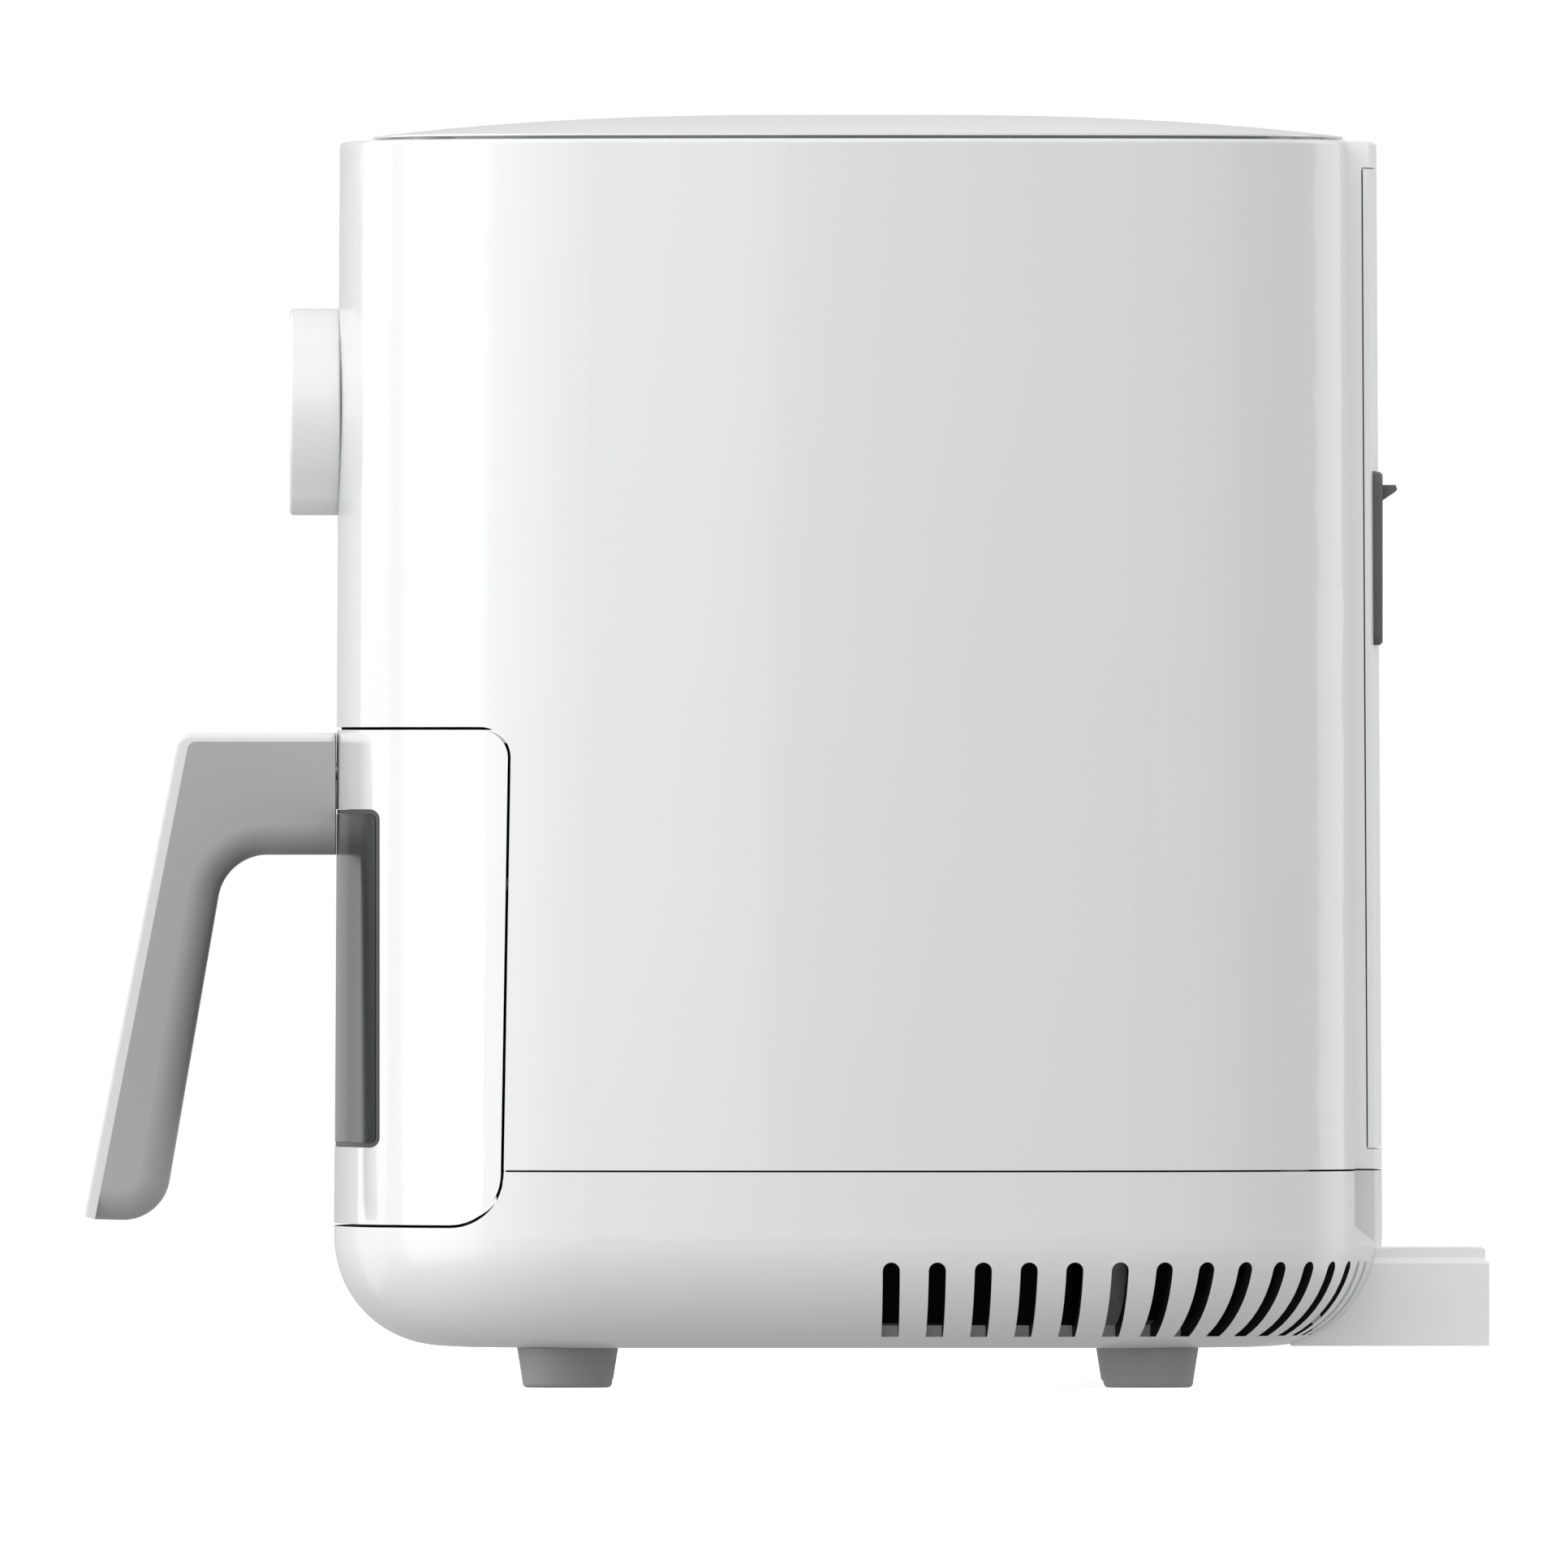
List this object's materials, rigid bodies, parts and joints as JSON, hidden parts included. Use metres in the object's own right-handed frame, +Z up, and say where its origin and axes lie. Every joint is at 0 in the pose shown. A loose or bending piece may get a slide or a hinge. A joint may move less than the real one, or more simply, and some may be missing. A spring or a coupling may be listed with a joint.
{
  "type": "air fryer",
  "caption": "Basket air fryer: rounded white body with domed top, pull-out windowed drawer on a hooked handle, turn-and-press front knob, vented base and rear wall spacer.",
  "frame": {"origin": "on the ground under the middle of the whole length, between the handle's tip and the wall spacer's rear face, on the plane of symmetry", "axes": "+Z up, -Y to the front where the handle and knob are, +Y to the rear spacer, +X to the right hand of someone facing the front"},
  "size_m": [0.2522, 0.337, 0.304],
  "materials": {
    "white_shell": "glossy white moulded plastic",
    "white_trim": "satin white moulded plastic",
    "grey_grip": "satin grey moulded plastic",
    "dark_plastic": "dark grey moulded plastic",
    "foot_rubber": "dark grey rubber",
    "silicone": "soft silicone",
    "tinted_glass": "dark tinted glass",
    "clear_glass": "clear tempered glass",
    "display_glass": "black glossy display window",
    "coated_metal": "dark non-stick coating",
    "zinc_sheet": "galvanised sheet",
    "steel": "bright steel",
    "aluminium_blade": "bare aluminium",
    "circuit_board": "green laminate",
    "components": "moulded components"
  },
  "bodies": {
    "body": {"main_housing": "white_shell", "top_cover": "white_shell", "base_housing": "white_shell", "wall_spacer": "white_shell", "air_divider": "dark_plastic", "rear_panel": "white_shell", "exhaust_grille": "dark_plastic", "exhaust_duct": "zinc_sheet", "cord_gland": "dark_plastic", "foot_front_left": "foot_rubber", "foot_front_right": "foot_rubber", "foot_rear_left": "foot_rubber", "foot_rear_right": "foot_rubber", "drawer_bay_frame": "dark_plastic", "chamber_liner": "zinc_sheet", "drawer_rails": "dark_plastic", "drawer_catch_springs": "steel", "heater_hood": "zinc_sheet", "heating_element": "steel", "heater_guard": "steel", "heat_shield": "zinc_sheet", "temperature_sensor": "steel", "thermal_cut_out": "components", "motor_bracket": "zinc_sheet", "motor_stator": "zinc_sheet", "motor_bearings": "steel", "motor_screws": "steel", "board_tray": "white_trim", "power_board": "circuit_board", "power_board_components": "components", "control_board": "circuit_board", "knob_encoder": "components", "drawer_switch": "components", "base_screws": "steel", "rear_panel_screws": "steel"},
    "drawer": {"drawer_front_panel": "white_shell", "drawer_back_panel": "dark_plastic", "window_frame": "dark_plastic", "window_outer_glass": "tinted_glass", "window_inner_glass": "clear_glass", "drawer_seal": "silicone", "drawer_pan": "coated_metal", "handle_cover": "white_trim", "handle_grip": "grey_grip", "handle_screws": "steel"},
    "crisper": {"crisper_plate": "coated_metal", "plate_bumpers": "silicone"},
    "knob": {"knob_hub": "white_trim", "display_lens": "display_glass"},
    "ring": {"knob_ring": "white_trim"},
    "rotor": {"motor_shaft": "steel", "hot_air_fan": "aluminium_blade", "cooling_fan": "dark_plastic"},
    "plunger": {"switch_plunger": "white_trim"}
  },
  "joints": [
    {"name": "drawer_slide", "type": "slide", "parent": "body", "child": "drawer", "axis": [0, -1, 0], "range_m": [0, 0.19]},
    {"name": "crisper_lift", "type": "slide", "parent": "drawer", "child": "crisper", "axis": [0, 0, 1], "range_m": [0, 0.085]},
    {"name": "knob_press", "type": "slide", "parent": "body", "child": "knob", "axis": [0, 1, 0], "range_m": [0, 0.0005], "stiffness_N_per_m": 6000},
    {"name": "knob_turn", "type": "hinge", "parent": "knob", "child": "ring", "pos_m": [0, -0.1127, 0.2331], "axis": [0, 1, 0], "continuous": true},
    {"name": "fan_spin", "type": "hinge", "parent": "body", "child": "rotor", "pos_m": [0, 0.031, 0.21], "axis": [0, 0, 1], "continuous": true},
    {"name": "switch_press", "type": "slide", "parent": "body", "child": "plunger", "axis": [0, 1, 0], "range_m": [0, 0.0015], "stiffness_N_per_m": 600}
  ]
}
